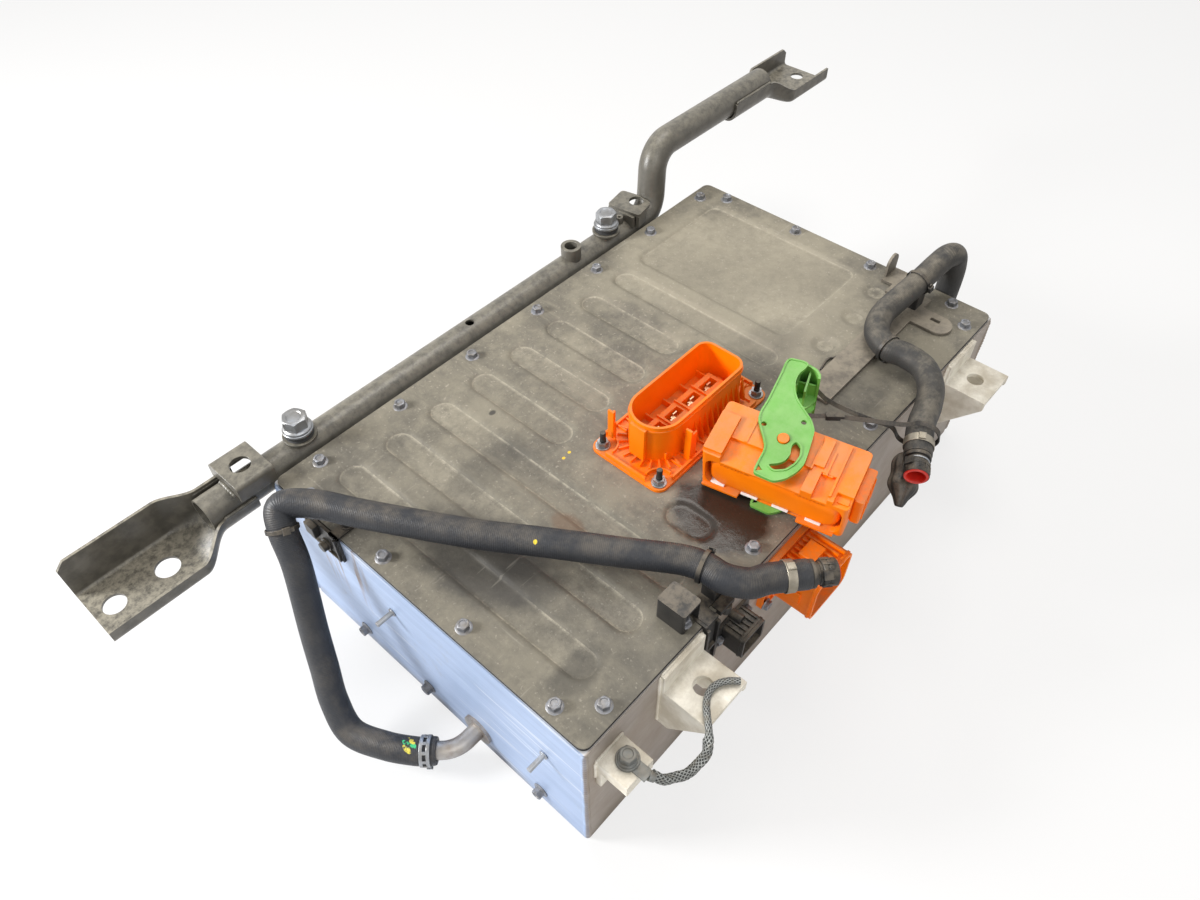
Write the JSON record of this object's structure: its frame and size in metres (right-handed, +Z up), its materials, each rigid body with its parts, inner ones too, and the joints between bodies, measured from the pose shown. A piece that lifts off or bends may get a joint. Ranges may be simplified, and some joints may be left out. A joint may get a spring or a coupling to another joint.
{
  "type": "high-voltage battery pack",
  "caption": "Sealed drive battery pack for a hybrid car: ribbed cover, carrying tube with end brackets, coolant hoses, high-voltage header and loose lever plug.",
  "frame": {"origin": "centre of the flat underside of the case", "axes": "+X along the case towards the raised end of the carrying tube, +Y towards the carrying tube, -Y is the connector side, +Z up"},
  "size_m": [1.128, 0.5377, 0.2731],
  "materials": {
    "case_metal": "satin, scuffed",
    "bracket_metal": "satin, stained",
    "cover_paint": "matte, dusty",
    "tube_paint": "satin, dusty",
    "zinc_steel": "satin",
    "dark_steel": "satin",
    "orange_plastic": "satin",
    "green_plastic": "satin",
    "black_plastic": "satin",
    "white_plastic": "satin",
    "red_plastic": "gloss",
    "hose_rubber": "satin",
    "seal_rubber": "matte",
    "foam": "matte",
    "cell_can": "satin",
    "board": "satin",
    "contact_metal": "satin",
    "braid": "braided"
  },
  "bodies": {
    "pack": {"tray": "case_metal", "insulation_pad": "foam", "cooling_plate": "case_metal", "battery_cells": "cell_can", "module_end_plates": "case_metal", "cell_busbars": "contact_metal", "battery_controller": "board", "junction_box": "black_plastic", "contactors": "white_plastic", "main_fuse": "white_plastic", "cover_gasket": "seal_rubber", "cover": "cover_paint", "cover_bolts": "dark_steel", "side_bolts": "dark_steel", "wall_studs": "zinc_steel", "front_brackets": "bracket_metal", "rear_brackets": "bracket_metal", "cross_tube": "tube_paint", "tube_sleeves": "tube_paint", "tube_bosses": "tube_paint", "tube_saddle_left": "tube_paint", "tube_saddle_right": "tube_paint", "tube_end_bracket_left": "tube_paint", "tube_end_bracket_right": "tube_paint", "rail_isolators": "seal_rubber", "rail_washers": "zinc_steel", "rail_bolts": "zinc_steel", "rail_nuts": "zinc_steel", "outlet_elbow": "case_metal", "inlet_elbow": "case_metal", "left_hose": "hose_rubber", "right_hose": "hose_rubber", "spring_clamps": "zinc_steel", "band_clamps": "zinc_steel", "quick_connector_left": "black_plastic", "quick_connector_right": "black_plastic", "connector_seals": "red_plastic", "connector_wire_clip": "zinc_steel", "hose_ties": "black_plastic", "hose_clip_front": "black_plastic", "hose_bracket_right": "cover_paint", "hose_cradles": "black_plastic", "edge_clip_left": "black_plastic", "hv_header": "orange_plastic", "header_gasket": "seal_rubber", "header_contacts": "contact_metal", "header_studs": "dark_steel", "header_nuts": "zinc_steel", "plug_housing": "orange_plastic", "plug_contact_carrier": "white_plastic", "cable_tie": "black_plastic", "side_header": "orange_plastic", "signal_connector": "black_plastic", "connector_screws": "zinc_steel", "ground_boss": "bracket_metal", "ground_bolt": "zinc_steel", "ground_lug": "zinc_steel", "ground_strap": "braid"},
    "lever": {"plug_lever": "green_plastic"}
  },
  "joints": [
    {"name": "lever_hinge", "type": "hinge", "parent": "pack", "child": "lever", "pos_m": [-0.02379, -0.15633, 0.22539], "axis": [-0.1692, -0.0391, 0.9848], "range_deg": [-52, 4], "deforming": ["cable_tie"]}
  ]
}
